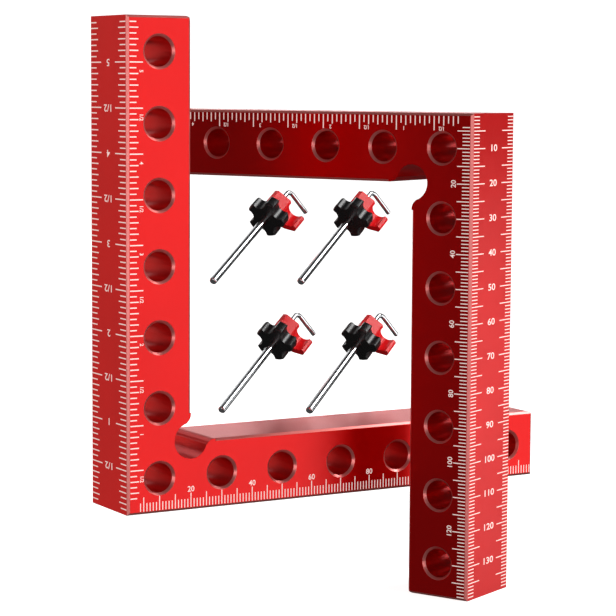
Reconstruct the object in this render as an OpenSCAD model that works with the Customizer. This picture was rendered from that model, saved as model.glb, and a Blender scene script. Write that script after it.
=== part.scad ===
// Corner clamp set: two drilled positioning squares and four small hook clamps.
// Millimetres, +Z up, origin at the middle of the left square's corner hole.

/* [Squares] */
// Length of each leg along its outer edge
leg_len = 140; // [110:1:190]
// Width of each leg
leg_w = 20; // [18:0.5:26]
// Thickness of a square from face to face
thick = 24; // [14:0.5:28]
// Diameter of the clamp holes
hole_d = 8.5; // [6:0.1:9.5]
// Distance between neighbouring holes
hole_pitch = 20; // [15:0.5:30]
// Distance from the outer edges to the hole centres
hole_inset = 10; // [8:0.5:12]
// Width of the bevel round each hole mouth
hole_bevel = 0.7; // [0.3:0.1:1.2]
// Width of the bevel along the edges of the faces
edge_bevel = 0.7; // [0.3:0.1:1.4]
// Radius of the glue relief in the inner corner
relief_r = 5.2; // [3:0.1:7]
// Radius of the rounded lead-in on each side of the relief
relief_lead = 3; // [1:0.25:4]
// Radius of the inner corner at each leg end
end_r = 1.5; // [0.8:0.1:4]

/* [Placing] */
// Turn of the left square about the vertical
left_turn = 30.5; // [25:0.5:37]
// Turn of the right square about the vertical
right_turn = 34.5; // [30:0.5:40]
// Right square's corner hole, across
right_x = 92.4; // [88:0.1:102]
// Right square's corner hole, depth
right_y = 11.6; // [6:0.1:14]
// Right square's corner hole, height
right_z = 93.3; // [80:0.1:110]
// Upper left clamp's knob face, across
clamp_x = 33.2; // [26:0.1:40]
// Upper left clamp's knob face, depth
clamp_y = 108.8; // [104:0.1:130]
// Upper left clamp's knob face, height
clamp_z = 66.1; // [60:0.1:72]
// Step from one clamp column to the next
column_step = 28.2; // [22:0.1:34]
// Drop from one clamp row to the next
row_drop = 41.4; // [34:0.2:46]
// Sideways shift of the lower clamp row
row_shift = 3; // [0:0.1:6]
// Forward shift of the lower clamp row
row_forward = 3.4; // [0:0.1:8]
// Tilt of the clamps from the vertical
clamp_tilt = 60.8; // [55:0.1:75]
// Heading of the clamps, from the X axis
clamp_heading = 60.4; // [50:0.1:75]
// Turn of the hook about its rod
hook_turn = -25.5; // [-40:0.5:-10]

/* [Star knob] */
// Diameter of the hand knob over its lobes
knob_d = 13.4; // [12:0.1:16]
// Thickness of the hand knob
knob_t = 4.9; // [4.7:0.1:7]
// Radius of the hollows between the lobes
valley_r = 2.4; // [1.5:0.1:3]
// Depth of the hollows below the lobe tips
valley_depth = 2.5; // [1:0.1:2.8]
// Depth of the bevel on the lobe corners
lobe_bevel = 0.35; // [0.15:0.05:0.5]
// Radius of the knob's rims
rim_r = 0.7; // [0.3:0.05:1]
// Turn of the hand knob's lobes from the hook
knob_turn = 20; // [0:1:71]

/* [Jaw foot] */
// Thickness of the clamping foot
foot_t = 6.4; // [4:0.1:6.8]
// Width of the foot's hub across its flats
hub_w = 7.1; // [6.4:0.1:8]
// Bevel on the hub's corners
hub_bevel = 1; // [0.5:0.1:1.4]
// Reach of the foot from the rod's centre line
foot_reach = 10.2; // [9.4:0.1:11]
// Radius of the lip at the foot's tip
lip_r = 1.2; // [1:0.05:1.4]
// Radius of the hollow between the hub and the lip
hollow_r = 2.75; // [2.4:0.05:3]
// Distance of the hollow's centre from the rod along the reach
hollow_x = 6; // [5.7:0.1:6.4]
// Distance of the hollow's centre to the side of the reach
hollow_y = 2; // [1.8:0.05:2.3]
// Metal left behind the hollow
web_t = 1.6; // [1.2:0.1:2.2]
// Turn of the foot's reach from the hook
foot_turn = -19; // [-35:1:0]

/* [Hook rod] */
// Diameter of the hook rod
rod_d = 1.6; // [1.3:0.05:1.75]
// Height of the hook arm above the knob's inner face
arm_z = 13.7; // [13.5:0.1:18]
// Reach of the hook arm from the rod's centre line
arm_len = 9.8; // [6:0.1:14]
// Radius of the bend along its centre line
bend_r = 2; // [1.5:0.1:3]
// Length of rod that runs on past the knob into the tube
rod_tail = 12.2; // [11.5:0.1:20]
// Bevel on both ends of the rod
rod_bevel = 0.25; // [0.1:0.05:0.4]

/* [Tube] */
// Outer diameter of the sleeve tube
tube_d = 2.55; // [2.3:0.05:3]
// Length of tube that shows behind the knob
tube_len = 36.6; // [34:0.1:60]
// Depth of the tube's seat in the knob
tube_seat = 1.6; // [1:0.1:1.8]
// Length of the plug's rounded head
plug_head = 1; // [0.8:0.05:1.2]
// Length of the plug's stem
plug_stem = 2.4; // [1:0.1:4]

/* [Swivel and thread] */
// Outer diameter of the threaded insert
insert_d = 3.6; // [3:0.1:4.2]
// Diameter of the bush's neck
neck_d = 3; // [2.5:0.1:3.4]
// Diameter of the bush's collar
collar_d = 4.7; // [4.2:0.1:5]
// Thickness of the bush's collar
collar_t = 0.75; // [0.5:0.05:0.9]
// Diameter of the pocket in the knob
pocket_d = 5.4; // [5.2:0.1:5.8]
// Thickness of the retaining ring
ring_t = 0.7; // [0.4:0.05:0.9]

/* [Clearances] */
// Radial clearance of the rod in the threaded insert
thread_gap = 0.04; // [0.02:0.01:0.08]
// Radial clearance of the rod in the bush
bush_gap = 0.06; // [0.02:0.01:0.09]
// Radial clearance of the rod in the tube
tube_gap = 0.15; // [0.1:0.01:0.2]
// Radial clearance of the bush's neck in the retaining ring
ring_gap = 0.06; // [0.02:0.01:0.09]
// End clearance between turning and sliding faces
face_gap = 0.15; // [0.1:0.01:0.25]

/* [Hidden] */
$fn = 64;
eps = 0.01;
lobes = 5;
step_deg = 360 / lobes;
hole_count = floor((leg_len - 2 * hole_inset) / hole_pitch) + 1;
hole_r = hole_d / 2;
inner = leg_w - hole_inset;
far_end = leg_len - hole_inset;
lead_x = sqrt(pow(relief_r + relief_lead, 2) - pow(relief_lead, 2));
lead_sweep = 90 - atan(relief_lead / lead_x);
lead_flats = 5;
lead_land = 0.3;
// The last flat ends inside the relief circle, at this share of its radius.
lead_sink = 0.94;
rod_r = rod_d / 2;
tube_bore = rod_d + 2 * tube_gap;
pocket_t = ring_t + collar_t + 2 * face_gap;
insert_t = knob_t - tube_seat - pocket_t;
neck_end = face_gap + foot_t;
lip_x = foot_reach - lip_r;

// Outline of a square in the plane of its faces, corner hole at the origin.
module outline() {
    difference() {
        translate([-hole_inset, -hole_inset]) square([leg_len, leg_len]);
        translate([inner, inner]) square([leg_len, leg_len]);
        relief();
        end_corner();
        mirror([1, -1]) end_corner();
    }
}

// Round relief with a rounded lead-in on each side.
module relief() {
    translate([inner, inner]) {
        circle(r = relief_r);
        lead_in();
        mirror([1, -1]) lead_in();
    }
}

// Corner between the relief and a leg's inner edge, rounded off in short flats.
module lead_in() {
    polygon(concat([[0, eps], [lead_x, eps]], [for (i = [0 : lead_flats])
        let (t = 90 + lead_sweep * i / lead_flats, k = i == lead_flats ? lead_sink : 1)
            k * [lead_x + relief_lead * cos(t), relief_lead * (sin(t) - 1)]]));
}

// Rounding of the inner corner at the end of the leg along X.
module end_corner() {
    translate([far_end - end_r, inner - end_r]) difference() {
        square([end_r + 1, end_r + 1]);
        circle(r = end_r);
    }
}

// Block that bevels a straight edge along X from x0 to x1; out is the way out of the metal, in Y and Z.
module edge_cut(x0, x1, y, z, out) {
    w = 2 * edge_bevel;
    translate([x0, y, z]) rotate([atan2(-out[0], out[1]), 0, 0])
        translate([0, -w, -edge_bevel / sqrt(2)]) cube([x1 - x0, 2 * w, w]);
}

// Bevels along the straight edges of the leg along X, on both faces.
module leg_bevels() {
    for (side = [[0, -1], [thick, 1]]) {
        edge_cut(-hole_inset - 1, far_end + 1, -hole_inset, side[0], [-1, side[1]]);
        edge_cut(inner + lead_x + lead_land, far_end + 1, inner, side[0], [1, side[1]]);
        translate([far_end, 0, 0]) rotate([0, 0, 90])
            edge_cut(-hole_inset - 1, inner + 1, 0, side[0], [-1, side[1]]);
    }
}

// Hole with a bevelled mouth on each face.
module clamp_hole() {
    translate([0, 0, -1]) cylinder(r = hole_r, h = thick + 2);
    translate([0, 0, -eps]) cylinder(r1 = hole_r + hole_bevel + eps, r2 = hole_r, h = hole_bevel + eps);
    translate([0, 0, thick - hole_bevel])
        cylinder(r1 = hole_r, r2 = hole_r + hole_bevel + eps, h = hole_bevel + eps);
}

// One square lying in the XY plane, front face up at z = thick.
module square_flat() {
    difference() {
        linear_extrude(height = thick) outline();
        leg_bevels();
        mirror([1, -1, 0]) leg_bevels();
        for (i = [0 : hole_count - 1]) translate([i * hole_pitch, 0, 0]) clamp_hole();
        for (i = [1 : hole_count - 1]) translate([0, i * hole_pitch, 0]) clamp_hole();
    }
}

// Stood up about the middle of its thickness, front face towards -Y, legs along +X and +Z.
module square_upright() {
    translate([0, thick / 2, 0]) rotate([90, 0, 0]) square_flat();
}

module left_square() {
    color("firebrick") rotate([0, 0, left_turn]) square_upright();
}

module right_square() {
    color("firebrick") translate([right_x, right_y, right_z]) rotate([0, 0, -right_turn])
        rotate([0, 180, 0]) square_upright();
}

// Wedge that bevels the corner of a lobe, on the valley at angle 0.
module lobe_corner(r) {
    vd = r - valley_depth + valley_r;
    x = acos((vd * vd + r * r - valley_r * valley_r) / (2 * vd * r));
    corner = r * [cos(x), sin(x)];
    both = corner / r + ([vd, 0] - corner) / valley_r;
    out = both / norm(both);
    side = 4 * lobe_bevel * [-out[1], out[0]];
    foot = corner - lobe_bevel * out;
    polygon([foot - side, corner + 4 * lobe_bevel * out, foot + side]);
}

// Star with bevelled lobes, a lobe at angle 0.
module star(r) {
    difference() {
        circle(r = r);
        for (i = [0 : lobes - 1]) rotate((i + 0.5) * step_deg) {
            translate([r - valley_depth + valley_r, 0]) circle(r = valley_r);
            lobe_corner(r);
            mirror([0, 1]) lobe_corner(r);
        }
    }
}

// Star body from z = 0 to t, its rims rounded off in two flats that run on past the lobe ends.
module star_body(r, t) {
    a = rim_r * (1 - sqrt(0.5));
    b = 2 * rim_r - a;
    intersection() {
        linear_extrude(height = t) star(r);
        rotate_extrude() polygon([[0, 0], [r - rim_r, 0], [r - a, a], [r + a, b],
            [r + a, t - b], [r - a, t - a], [r - rim_r, t], [0, t]]);
    }
}

// Ring from z0 to z1.
module ring(d_in, d_out, z0, z1) {
    translate([0, 0, z0]) difference() {
        cylinder(d = d_out, h = z1 - z0);
        translate([0, 0, -1]) cylinder(d = d_in, h = z1 - z0 + 2);
    }
}

// Bent rod: long leg along Z, arm along +X.
module hook() {
    tail_z = -knob_t - rod_tail;
    color("silver") {
        translate([0, 0, tail_z]) cylinder(r1 = rod_r - rod_bevel, r2 = rod_r, h = rod_bevel);
        translate([0, 0, tail_z + rod_bevel]) cylinder(r = rod_r, h = arm_z - bend_r - tail_z - rod_bevel);
        translate([bend_r, 0, arm_z - bend_r]) rotate([90, 0, 0]) rotate([0, 0, 90])
            rotate_extrude(angle = 90) translate([bend_r, 0]) circle(r = rod_r);
        translate([bend_r, 0, arm_z]) rotate([0, 90, 0]) {
            cylinder(r = rod_r, h = arm_len - bend_r - rod_bevel);
            translate([0, 0, arm_len - bend_r - rod_bevel])
                cylinder(r1 = rod_r, r2 = rod_r - rod_bevel, h = rod_bevel);
        }
    }
}

// Outline of the foot: hub round the rod, hollow and lip, the reach along X.
module foot_outline() {
    h = hub_w / 2;
    k = h - hub_bevel;
    difference() {
        polygon([[-h, -k], [-k, -h], [k, -h], [h, -k], [lip_x - lip_r / 2, -lip_r], [lip_x + lip_r / 2, -lip_r],
            [foot_reach, -lip_r / 2], [foot_reach, lip_r / 3], [hollow_x + 1, hollow_r - hollow_y + web_t],
            [k, h], [-k, h], [-h, k]]);
        translate([hollow_x, -hollow_y]) circle(r = hollow_r);
        circle(d = neck_d);
    }
}

// Clamping foot with its flat face towards the hook.
module foot() {
    color("red") translate([0, 0, face_gap]) rotate([0, 0, foot_turn]) linear_extrude(height = foot_t) foot_outline();
}

// Bush pressed into the foot, with the collar that turns in the knob's pocket.
module bush() {
    top = -ring_t - face_gap;
    color("goldenrod") difference() {
        union() {
            translate([0, 0, top - collar_t]) cylinder(d = collar_d, h = collar_t);
            translate([0, 0, top - eps]) cylinder(d = neck_d, h = neck_end - top + eps);
        }
        translate([0, 0, top - collar_t - 1]) cylinder(r = rod_r + bush_gap, h = neck_end - top + collar_t + 2);
    }
}

// Hand knob, bored for the tube, the insert and the swivel pocket.
module knob() {
    color("dimgray") difference() {
        translate([0, 0, -knob_t]) rotate([0, 0, knob_turn]) star_body(knob_d / 2, knob_t);
        translate([0, 0, -knob_t - 1]) cylinder(d = tube_d, h = tube_seat + 1 + eps);
        translate([0, 0, -knob_t + tube_seat]) cylinder(d = insert_d, h = insert_t + eps);
        translate([0, 0, -pocket_t]) cylinder(d = pocket_d, h = pocket_t + 1);
    }
}

// Retaining ring pressed into the mouth of the pocket.
module retainer() {
    color("lightsteelblue") ring(neck_d + 2 * ring_gap, pocket_d, -ring_t, 0);
}

// Threaded insert pressed into the knob.
module insert() {
    color("gold") ring(rod_d + 2 * thread_gap, insert_d, -knob_t + tube_seat, -pocket_t);
}

// Sleeve tube over the rod's tail.
module tube() {
    color("gainsboro") ring(tube_bore, tube_d, -knob_t - tube_len, -knob_t + tube_seat);
}

// Rounded plug in the end of the tube.
module plug() {
    z = -knob_t - tube_len;
    round_r = tube_d / 4;
    color("darkgray") rotate_extrude() {
        translate([0, z]) square([tube_bore / 2, plug_stem]);
        translate([0, z - plug_head]) square([tube_d / 2 - round_r, plug_head]);
        translate([0, z - plug_head + round_r]) square([tube_d / 2, plug_head - round_r]);
        intersection() {
            translate([tube_d / 2 - round_r, z - plug_head + round_r]) circle(r = round_r);
            translate([0, z - plug_head]) square([tube_d, plug_head]);
        }
    }
}

// Puts a clamp in its column and row, knob face at the stated place.
module at_clamp(column, row) {
    translate([clamp_x + column * column_step + row * row_shift, clamp_y - row * row_forward,
            clamp_z - row * row_drop])
        rotate([0, clamp_tilt, clamp_heading]) rotate([0, 0, hook_turn]) translate([0, 0, knob_t]) children();
}

module ul_hook() at_clamp(0, 0) hook();
module ul_foot() at_clamp(0, 0) foot();
module ul_bush() at_clamp(0, 0) bush();
module ul_knob() at_clamp(0, 0) knob();
module ul_ring() at_clamp(0, 0) retainer();
module ul_insert() at_clamp(0, 0) insert();
module ul_tube() at_clamp(0, 0) tube();
module ul_plug() at_clamp(0, 0) plug();
module ur_hook() at_clamp(1, 0) hook();
module ur_foot() at_clamp(1, 0) foot();
module ur_bush() at_clamp(1, 0) bush();
module ur_knob() at_clamp(1, 0) knob();
module ur_ring() at_clamp(1, 0) retainer();
module ur_insert() at_clamp(1, 0) insert();
module ur_tube() at_clamp(1, 0) tube();
module ur_plug() at_clamp(1, 0) plug();
module ll_hook() at_clamp(0, 1) hook();
module ll_foot() at_clamp(0, 1) foot();
module ll_bush() at_clamp(0, 1) bush();
module ll_knob() at_clamp(0, 1) knob();
module ll_ring() at_clamp(0, 1) retainer();
module ll_insert() at_clamp(0, 1) insert();
module ll_tube() at_clamp(0, 1) tube();
module ll_plug() at_clamp(0, 1) plug();
module lr_hook() at_clamp(1, 1) hook();
module lr_foot() at_clamp(1, 1) foot();
module lr_bush() at_clamp(1, 1) bush();
module lr_knob() at_clamp(1, 1) knob();
module lr_ring() at_clamp(1, 1) retainer();
module lr_insert() at_clamp(1, 1) insert();
module lr_tube() at_clamp(1, 1) tube();
module lr_plug() at_clamp(1, 1) plug();

left_square();
right_square();
ul_hook();
ul_foot();
ul_bush();
ul_knob();
ul_ring();
ul_insert();
ul_tube();
ul_plug();
ur_hook();
ur_foot();
ur_bush();
ur_knob();
ur_ring();
ur_insert();
ur_tube();
ur_plug();
ll_hook();
ll_foot();
ll_bush();
ll_knob();
ll_ring();
ll_insert();
ll_tube();
ll_plug();
lr_hook();
lr_foot();
lr_bush();
lr_knob();
lr_ring();
lr_insert();
lr_tube();
lr_plug();
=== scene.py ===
import math

import bmesh
import bpy
from mathutils import Matrix, Vector


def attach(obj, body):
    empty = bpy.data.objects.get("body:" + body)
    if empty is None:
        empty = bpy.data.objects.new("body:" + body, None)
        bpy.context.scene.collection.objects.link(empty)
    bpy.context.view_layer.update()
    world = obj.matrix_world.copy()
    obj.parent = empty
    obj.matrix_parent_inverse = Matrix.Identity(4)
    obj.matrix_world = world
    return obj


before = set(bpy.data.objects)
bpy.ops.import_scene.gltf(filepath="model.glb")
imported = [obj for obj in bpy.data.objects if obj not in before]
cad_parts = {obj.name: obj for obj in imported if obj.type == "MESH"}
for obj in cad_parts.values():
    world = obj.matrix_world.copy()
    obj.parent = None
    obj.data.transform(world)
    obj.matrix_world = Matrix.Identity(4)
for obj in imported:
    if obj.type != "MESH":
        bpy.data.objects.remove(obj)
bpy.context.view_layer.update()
mm = 0.001
print("frame loaded,", len(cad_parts), "nodes")

# the squares' own sizes in millimetres and degrees, as in the solids
square = {"leg": 140.0, "inset": 10.0, "thick": 24.0, "leftTurn": 30.5, "rightTurn": 34.5,
          "rightAt": (92.4, 11.6, 93.3)}


def hexToLinear(code):  # sRGB hex to linear RGBA
    parts = [int(code[i:i + 2], 16) / 255 for i in (1, 3, 5)]
    return [c / 12.92 if c <= 0.04045 else ((c + 0.055) / 1.055) ** 2.4 for c in parts] + [1.0]


def cyclesPerMetre(sizeMm):  # texture scale for a pattern of that size
    return 1 / (sizeMm * mm)


def newMaterial(name):
    mat = bpy.data.materials.new(name)
    mat.use_nodes = True
    mat.node_tree.nodes.clear()
    return mat, mat.node_tree


def addNode(tree, kind, settings=None, inputs=None, links=None):  # one node with its settings and links
    node = tree.nodes.new(kind)
    for key, value in (settings or {}).items():
        setattr(node, key, value)
    for key, value in (inputs or {}).items():
        node.inputs[key].default_value = value
    for key, source in (links or {}).items():
        tree.links.new(source, node.inputs[key])
    return node


# dyed anodised aluminium, milled then bead blasted: deep red metal with a satin sheen, a fine grain and a
# painted highlight on the bevels
anodisedLook = {"dark": "#D60203", "light": "#EC0304", "cloudMm": 30, "cloudDetail": 3.0,  # the dye drifts
                "sheen": "#FF5A50", "metallic": 0.65, "specular": 0.2, "rough": (0.3, 0.4),
                "coat": 0.38, "coatRough": 0.25,  # sealed oxide over the dye
                "grainMm": 0.35, "grainDetail": 4.0,  # the real grain is near 0.05 mm, drawn coarser to show
                "bump": 0.06, "edgeMm": 0.25, "edgeSamples": 4,
                "bevelHighlightTint": "#FF9C97", "bevelHighlightMix": 0.75,  # painted highlight: the bevels are mixed towards pale pink
                "bevelSlope": 0.707, "slopeBand": 0.15}  # cosine of the bevels' 45 degrees, and its leeway


def anodisedAluminiumSatin(name, look, turn):
    mat, tree = newMaterial(name)
    faceAxis = (math.sin(math.radians(turn)), -math.cos(math.radians(turn)), 0)
    coord = addNode(tree, "ShaderNodeTexCoord")
    grain = addNode(tree, "ShaderNodeTexNoise",
                    inputs={"Scale": cyclesPerMetre(look["grainMm"]), "Detail": look["grainDetail"]},
                    links={"Vector": coord.outputs["Object"]})
    cloud = addNode(tree, "ShaderNodeTexNoise",
                    inputs={"Scale": cyclesPerMetre(look["cloudMm"]), "Detail": look["cloudDetail"]},
                    links={"Vector": coord.outputs["Object"]})
    dyed = addNode(tree, "ShaderNodeMix", {"data_type": "RGBA"},
                   {"A": hexToLinear(look["dark"]), "B": hexToLinear(look["light"])},
                   {"Factor": cloud.outputs["Fac"]})
    slope = addNode(tree, "ShaderNodeVectorMath", {"operation": "DOT_PRODUCT"}, {1: faceAxis},
                    {0: coord.outputs["Normal"]})
    steep = addNode(tree, "ShaderNodeMath", {"operation": "ABSOLUTE"}, links={0: slope.outputs["Value"]})
    bevel = addNode(tree, "ShaderNodeMath", {"operation": "COMPARE"},
                    {1: look["bevelSlope"], 2: look["slopeBand"]},
                    {0: steep.outputs["Value"]})  # 1 on the bevels round the faces, 0 elsewhere
    bevelHighlightMix = addNode(tree, "ShaderNodeMapRange", inputs={"To Max": look["bevelHighlightMix"]},
                   links={"Value": bevel.outputs["Value"]})
    # painted highlight: on the bevels the red is mixed towards pale pink, for the light they catch
    colour = addNode(tree, "ShaderNodeMix", {"data_type": "RGBA"}, {"B": hexToLinear(look["bevelHighlightTint"])},
                     {"Factor": bevelHighlightMix.outputs["Result"], "A": dyed.outputs["Result"]})
    rough = addNode(tree, "ShaderNodeMapRange",
                    inputs={"To Min": look["rough"][0], "To Max": look["rough"][1]},
                    links={"Value": grain.outputs["Fac"]})
    edge = addNode(tree, "ShaderNodeBevel", {"samples": look["edgeSamples"]}, {"Radius": look["edgeMm"] * mm})
    bump = addNode(tree, "ShaderNodeBump",
                   inputs={"Strength": look["bump"], "Distance": look["grainMm"] * mm},
                   links={"Height": grain.outputs["Fac"], "Normal": edge.outputs["Normal"]})
    shader = addNode(tree, "ShaderNodeBsdfPrincipled",
                     inputs={"Metallic": look["metallic"], "Specular IOR Level": look["specular"],
                             "Specular Tint": hexToLinear(look["sheen"]),
                             "Coat Weight": look["coat"], "Coat Roughness": look["coatRough"]},
                     links={"Base Color": colour.outputs["Result"], "Roughness": rough.outputs["Result"],
                            "Normal": bump.outputs["Normal"]})
    addNode(tree, "ShaderNodeOutputMaterial", links={"Surface": shader.outputs["BSDF"]})
    return mat


# moulded ABS: glossy skin over a spark-eroded grain, drawn coarser than the real one so that it shows
blackLook = {"dark": "#0C0C0D", "light": "#151517", "rough": (0.22, 0.34), "specular": 0.52}
redLook = {"dark": "#F01018", "light": "#FF1C24", "rough": (0.28, 0.38), "specular": 0.22}
mouldLook = {"ior": 1.53, "grainMm": 0.25, "grainDetail": 5.0, "bump": 0.1,  # the same for both colours
             "flowMm": 6, "flowDetail": 2.0, "edgeMm": 0.35, "edgeSamples": 4}


def mouldedAbs(name, look):
    mat, tree = newMaterial(name)
    coord = addNode(tree, "ShaderNodeTexCoord")
    grain = addNode(tree, "ShaderNodeTexNoise",
                    inputs={"Scale": cyclesPerMetre(mouldLook["grainMm"]),
                            "Detail": mouldLook["grainDetail"]},
                    links={"Vector": coord.outputs["Object"]})
    flow = addNode(tree, "ShaderNodeTexNoise",
                   inputs={"Scale": cyclesPerMetre(mouldLook["flowMm"]), "Detail": mouldLook["flowDetail"]},
                   links={"Vector": coord.outputs["Object"]})
    colour = addNode(tree, "ShaderNodeMix", {"data_type": "RGBA"},
                     {"A": hexToLinear(look["dark"]), "B": hexToLinear(look["light"])},
                     {"Factor": flow.outputs["Fac"]})
    rough = addNode(tree, "ShaderNodeMapRange",
                    inputs={"To Min": look["rough"][0], "To Max": look["rough"][1]},
                    links={"Value": grain.outputs["Fac"]})
    edge = addNode(tree, "ShaderNodeBevel", {"samples": mouldLook["edgeSamples"]},
                   {"Radius": mouldLook["edgeMm"] * mm})
    bump = addNode(tree, "ShaderNodeBump",
                   inputs={"Strength": mouldLook["bump"], "Distance": mouldLook["grainMm"] * mm},
                   links={"Height": grain.outputs["Fac"], "Normal": edge.outputs["Normal"]})
    shader = addNode(tree, "ShaderNodeBsdfPrincipled",
                     inputs={"IOR": mouldLook["ior"], "Specular IOR Level": look["specular"]},
                     links={"Base Color": colour.outputs["Result"], "Roughness": rough.outputs["Result"],
                            "Normal": bump.outputs["Normal"]})
    addNode(tree, "ShaderNodeOutputMaterial", links={"Surface": shader.outputs["BSDF"]})
    return mat


# bare and plated metal: mirror or satin, with tool marks drawn coarser than the real ones so that they show
steelLook = {"dark": "#C9CBCE", "light": "#E6E7E9", "rough": (0.05, 0.1), "markMm": 0.4}  # polished, a mirror
zincLook = {"dark": "#A9ADB2", "light": "#C4C7CA", "rough": (0.25, 0.38), "markMm": 0.3}  # plated, pale satin
brassLook = {"dark": "#B08A3C", "light": "#D2AE5E", "rough": (0.18, 0.3), "markMm": 0.3}  # turned, warm satin
markDetail = 3.0


def toolMarkedMetal(name, look):
    mat, tree = newMaterial(name)
    coord = addNode(tree, "ShaderNodeTexCoord")
    mark = addNode(tree, "ShaderNodeTexNoise",
                   inputs={"Scale": cyclesPerMetre(look["markMm"]), "Detail": markDetail},
                   links={"Vector": coord.outputs["Object"]})
    colour = addNode(tree, "ShaderNodeMix", {"data_type": "RGBA"},
                     {"A": hexToLinear(look["dark"]), "B": hexToLinear(look["light"])},
                     {"Factor": mark.outputs["Fac"]})
    rough = addNode(tree, "ShaderNodeMapRange",
                    inputs={"To Min": look["rough"][0], "To Max": look["rough"][1]},
                    links={"Value": mark.outputs["Fac"]})
    shader = addNode(tree, "ShaderNodeBsdfPrincipled", inputs={"Metallic": 1.0},
                     links={"Base Color": colour.outputs["Result"], "Roughness": rough.outputs["Result"]})
    addNode(tree, "ShaderNodeOutputMaterial", links={"Surface": shader.outputs["BSDF"]})
    return mat


# matt whites with a faint fleck, which glow: on the laser-etched oxide, where the dye is burnt away,
# the glow is painted light that keeps the marks pale in the shade; the seamless paper of the studio glows
# evenly white
# the etched marks' glow is painted light, which keeps them pale on the shaded faces
etchLook = {"dark": "#FFD2CA", "light": "#FFE8E2", "fleckMm": 0.4, "rough": 0.6,
            "glow": 0.5, "glowTint": "#FFE8E2"}
paperLook = {"dark": "#F1F1EF", "light": "#F8F8F7", "fleckMm": 8, "rough": 0.9,
             "glow": 0.9, "glowTint": "#FFFFFF"}
fleckDetail = 2.0


def mattWhite(name, look):
    mat, tree = newMaterial(name)
    coord = addNode(tree, "ShaderNodeTexCoord")
    fleck = addNode(tree, "ShaderNodeTexNoise",
                    inputs={"Scale": cyclesPerMetre(look["fleckMm"]), "Detail": fleckDetail},
                    links={"Vector": coord.outputs["Object"]})
    colour = addNode(tree, "ShaderNodeMix", {"data_type": "RGBA"},
                     {"A": hexToLinear(look["dark"]), "B": hexToLinear(look["light"])},
                     {"Factor": fleck.outputs["Fac"]})
    # the emission is painted light on the etched marks; on the paper it keeps the sweep evenly white
    shader = addNode(tree, "ShaderNodeBsdfPrincipled",
                     inputs={"Roughness": look["rough"], "Emission Color": hexToLinear(look["glowTint"]),
                             "Emission Strength": look["glow"]},
                     links={"Base Color": colour.outputs["Result"]})
    addNode(tree, "ShaderNodeOutputMaterial", links={"Surface": shader.outputs["BSDF"]})
    return mat


# one red for each square, because the bevels that get the painted highlight are found from the direction of
# its own face
leftRed = anodisedAluminiumSatin("anodised_aluminium_satin_red_left", anodisedLook, square["leftTurn"])
rightRed = anodisedAluminiumSatin("anodised_aluminium_satin_red_right", anodisedLook, -square["rightTurn"])
blackAbs = mouldedAbs("abs_moulded_black", blackLook)
redAbs = mouldedAbs("abs_moulded_red", redLook)
polishedSteel = toolMarkedMetal("steel_polished", steelLook)
zincSteel = toolMarkedMetal("steel_zinc_plated", zincLook)
turnedBrass = toolMarkedMetal("brass_turned", brassLook)
etchedWhite = mattWhite("etched_oxide_matt_white", etchLook)
whitePaper = mattWhite("paper_sweep_white", paperLook)
print("materials made")

finishOf = {"hook": polishedSteel, "foot": redAbs, "bush": turnedBrass, "knob": blackAbs,
            "ring": zincSteel, "insert": turnedBrass, "tube": polishedSteel, "plug": polishedSteel}
for name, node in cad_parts.items():
    side, piece = name.split("_")
    node.data.materials.clear()
    node.data.materials.append({"left": leftRed, "right": rightRed}.get(side) or finishOf[piece])
print("finishes on the solids")


def inchText(i):  # i counts sixteenths: whole inches, with 1/2 between them
    halves = i // 8
    return str(halves // 2) if halves % 2 == 0 else "1/2"


# etched marks in millimetres: ticks start inside the bevel, sunk a hair into the metal and a hair proud of it
etch = {"start": 0.85, "proud": 0.02, "sink": 0.02, "bold": 0.025,  # bold thickens the digits' strokes
        "fontPerHeight": 1.36, "curveSteps": 3, "sideWide": 1.55}  # digits on the sides are drawn wider
# ranks: a tick gets longer for each of these that divides its number; skip: first tick on a face
mmRule = {"step": 1.0, "skip": 4, "ranks": (5,), "width": 0.27,
          "faceReach": (2.4, 4.1), "sideReach": (3.1, 6.3),
          "text": str, "faceEvery": 20, "sideEvery": 10,
          "faceDigit": 1.65, "sideDigit": 1.995, "digitIn": 6.0, "digitShift": 0.0}
inchRule = {"step": 25.4 / 16, "skip": 3, "ranks": (2, 8), "width": 0.33,
            "faceReach": (2.1, 2.7, 4.1), "sideReach": (3.6, 4.6, 6.6),
            "text": inchText, "faceEvery": 8, "sideEvery": 8,
            "faceDigit": 1.15, "sideDigit": 2.1, "digitIn": 4.4, "digitShift": -2.5}  # clear of the holes


def addTick(bm, face, at, reach, width, fromFar=0.0):  # a thin bar, in from one edge of a face or the far one
    corner, along, inward, normal = face
    a, b = etch["start"], etch["start"] + reach
    if fromFar:
        a, b = fromFar - b, fromFar - a
    base = corner + along * (at - width / 2)
    pts = [base + along * u * width + inward * v + normal * w
           for w in (-etch["sink"], etch["proud"]) for u, v in ((0, a), (1, a), (1, b), (0, b))]
    verts = [bm.verts.new(p * mm) for p in pts]
    for quad in ((0, 1, 2, 3), (4, 5, 6, 7), (0, 1, 5, 4), (1, 2, 6, 5), (2, 3, 7, 6), (3, 0, 4, 7)):
        bm.faces.new([verts[i] for i in quad])


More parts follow.
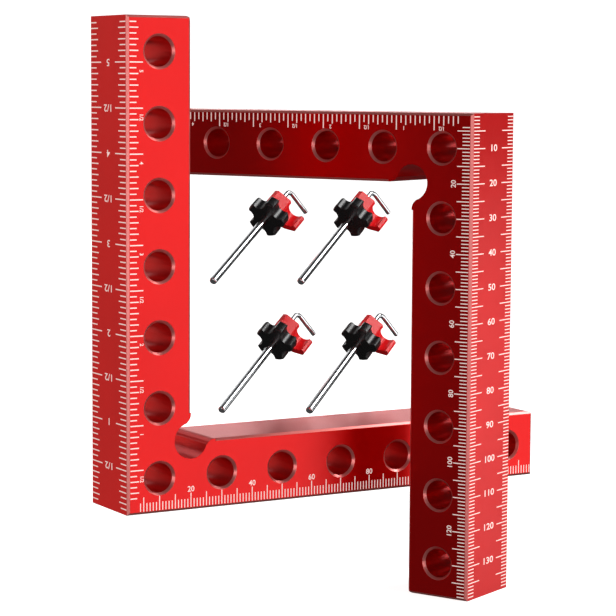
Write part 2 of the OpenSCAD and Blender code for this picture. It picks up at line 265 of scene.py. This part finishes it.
def addDigits(bm, text, centre, right, normal, height, wide=1.0):  # a number set on a face
    curve = bpy.data.curves.new("digits", "FONT")
    curve.body = text
    curve.align_x, curve.align_y = "CENTER", "CENTER"
    curve.size = height * etch["fontPerHeight"]
    curve.extrude = etch["proud"]
    curve.resolution_u = etch["curveSteps"]
    curve.offset = etch["bold"]
    holder = bpy.data.objects.new("digits", curve)
    bpy.context.scene.collection.objects.link(holder)
    mesh = bpy.data.meshes.new_from_object(holder.evaluated_get(bpy.context.evaluated_depsgraph_get()))
    spin = Matrix((right, normal.cross(right), normal)).transposed().to_4x4()
    stretch = Matrix.Diagonal((wide, 1, 1, 1))
    mesh.transform(Matrix.Scale(mm, 4) @ Matrix.Translation(centre) @ spin @ stretch)
    bm.from_mesh(mesh)
    bpy.data.objects.remove(holder)
    bpy.data.curves.remove(curve)
    bpy.data.meshes.remove(mesh)


def addRule(bm, face, onSide, rule):  # ticks, then numbers, along one leg
    corner, along, inward, normal = face
    where = "side" if onSide else "face"
    count = int(square["leg"] / rule["step"])
    for i in range(1 if onSide else rule["skip"], count):
        rank = sum(i % n == 0 for n in rule["ranks"])
        for far in (0.0, square["thick"]) if onSide else (0.0,):  # a side has ticks along both edges
            addTick(bm, face, i * rule["step"], rule[where + "Reach"][rank], rule["width"], far)
    every = rule[where + "Every"]
    for i in range(every, count, every):
        text, at = rule["text"](i), i * rule["step"]
        if onSide:
            centre = corner + along * at + inward * square["thick"] / 2
            addDigits(bm, text, centre, normal.cross(along), normal, rule["sideDigit"], etch["sideWide"])
        else:
            centre = corner + along * (at + rule["digitShift"]) + inward * rule["digitIn"]
            addDigits(bm, text, centre, inward.cross(normal), normal, rule["faceDigit"])


def addScales(name, place, uprightRule, levelRule):  # marks on both faces and both outer sides of a square
    half, inset = square["thick"] / 2, square["inset"]
    across, through, upward = Vector((1, 0, 0)), Vector((0, 1, 0)), Vector((0, 0, 1))
    corners = {"front": Vector((-inset, -half, -inset)), "back": Vector((-inset, half, -inset))}
    placeInMetres = place.copy()
    placeInMetres.translation = place.translation * mm
    for where in ("front", "back", "sides"):
        bm = bmesh.new()
        for along, inward, rule in ((upward, across, uprightRule), (across, upward, levelRule)):
            if where == "sides":
                addRule(bm, (corners["front"], along, through, -inward), True, rule)
            else:
                outward = -through if where == "front" else through
                addRule(bm, (corners[where], along, inward, outward), False, rule)
        bmesh.ops.recalc_face_normals(bm, faces=bm.faces)
        mesh = bpy.data.meshes.new(name + "_scale_" + where)
        bm.to_mesh(mesh)
        bm.free()
        mesh.transform(placeInMetres)
        mesh.materials.append(etchedWhite)
        marks = bpy.data.objects.new(name + "_scale_" + where, mesh)
        bpy.context.scene.collection.objects.link(marks)
        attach(marks, "set_base")


leftPlace = Matrix.Rotation(math.radians(square["leftTurn"]), 4, "Z")
rightPlace = (Matrix.Translation(Vector(square["rightAt"]))
              @ Matrix.Rotation(math.radians(-square["rightTurn"]), 4, "Z")
              @ Matrix.Rotation(math.pi, 4, "Y"))  # turned over
addScales("left_square", leftPlace, inchRule, mmRule)
addScales("right_square", rightPlace, mmRule, inchRule)
print("scales on the squares")

# white sweep in millimetres: a floor at the right square's foot and a wall far behind
sweep = {"low": -36.75, "top": 1500, "near": -900, "far": 1500, "half": 1500}


def addSheet(name, corners):
    mesh = bpy.data.meshes.new(name)
    mesh.from_pydata([Vector(c) * mm for c in corners], [], [range(len(corners))])
    mesh.materials.append(whitePaper)
    sheet = bpy.data.objects.new(name, mesh)
    sheet.visible_diffuse = sheet.visible_glossy = False  # stays white without filling the shaded faces
    bpy.context.scene.collection.objects.link(sheet)


low, top, near, far, half = sweep.values()
addSheet("floor", [(-half, near, low), (half, near, low), (half, far, low), (-half, far, low)])
addSheet("wall", [(-half, far, low), (half, far, low), (half, far, top), (-half, far, top)])

# softboxes: place, aim and size in millimetres, power in watts, and tint
softboxes = {
    "key_right": ((1300, -455, 60), (40, 40, 45), (1490, 1400), 11.4, "#FFFFFF"),
    "side_right": ((1300, 465, -170), (100, 40, 20), (270, 400), 0.95, "#FFFFFF"),
    "top_right": ((760, 150, 720), (40, 60, 40), (450, 450), 5.4, "#FFFFFF"),
    "fill_left": ((-1000, 500, 60), (40, 40, 45), (900, 1100), 2.3, "#FFA096"),  # warm, for clean red shade
    "fill_high": ((-420, 900, 780), (40, 60, 40), (600, 600), 1.1, "#FFFFFF"),
    "front": ((-225, -1600, 0), (40, 0, 45), (2300, 600), 10.5, "#FFFFFF"),
    "back_low": ((-350, 1450, 180), (40, 40, 40), (1300, 260), 2.8, "#FFFFFF"),
}
for name, (at, aim, size, power, tint) in softboxes.items():
    data = bpy.data.lights.new(name, "AREA")
    data.shape, data.size, data.size_y = "RECTANGLE", size[0] * mm, size[1] * mm
    data.energy, data.color = power, hexToLinear(tint)[:3]
    lamp = bpy.data.objects.new(name, data)
    lamp.location = Vector(at) * mm
    lamp.rotation_euler = (Vector(aim) - Vector(at)).to_track_quat("-Z", "Y").to_euler()
    lamp.visible_camera = False
    bpy.context.scene.collection.objects.link(lamp)

room = {"colour": "#FFFFFF", "glow": 0.07}  # faint even light from all round
world = bpy.data.worlds.new("studio")
world.use_nodes = True
background = world.node_tree.nodes["Background"]
background.inputs["Color"].default_value = hexToLinear(room["colour"])
background.inputs["Strength"].default_value = room["glow"]
bpy.context.scene.world = world
bpy.context.scene.view_settings.view_transform = "Standard"

# camera as fitted to the photo's scale marks
view = {"atMm": (47.8, -624.9, 111.2), "pitchDown": 5.81, "roll": 0.35, "focalPx": 2200, "framePx": 616,
        "sensorMm": 36}
cameraData = bpy.data.cameras.new("camera")
cameraData.sensor_width = view["sensorMm"]
cameraData.lens = view["sensorMm"] * view["focalPx"] / view["framePx"]
camera = bpy.data.objects.new("camera", cameraData)
camera.location = Vector(view["atMm"]) * mm
camera.rotation_euler = (Matrix.Rotation(math.radians(90 - view["pitchDown"]), 3, "X")
                         @ Matrix.Rotation(math.radians(view["roll"]), 3, "Z")).to_euler()
bpy.context.scene.collection.objects.link(camera)
bpy.context.scene.camera = camera
print("studio and camera set")
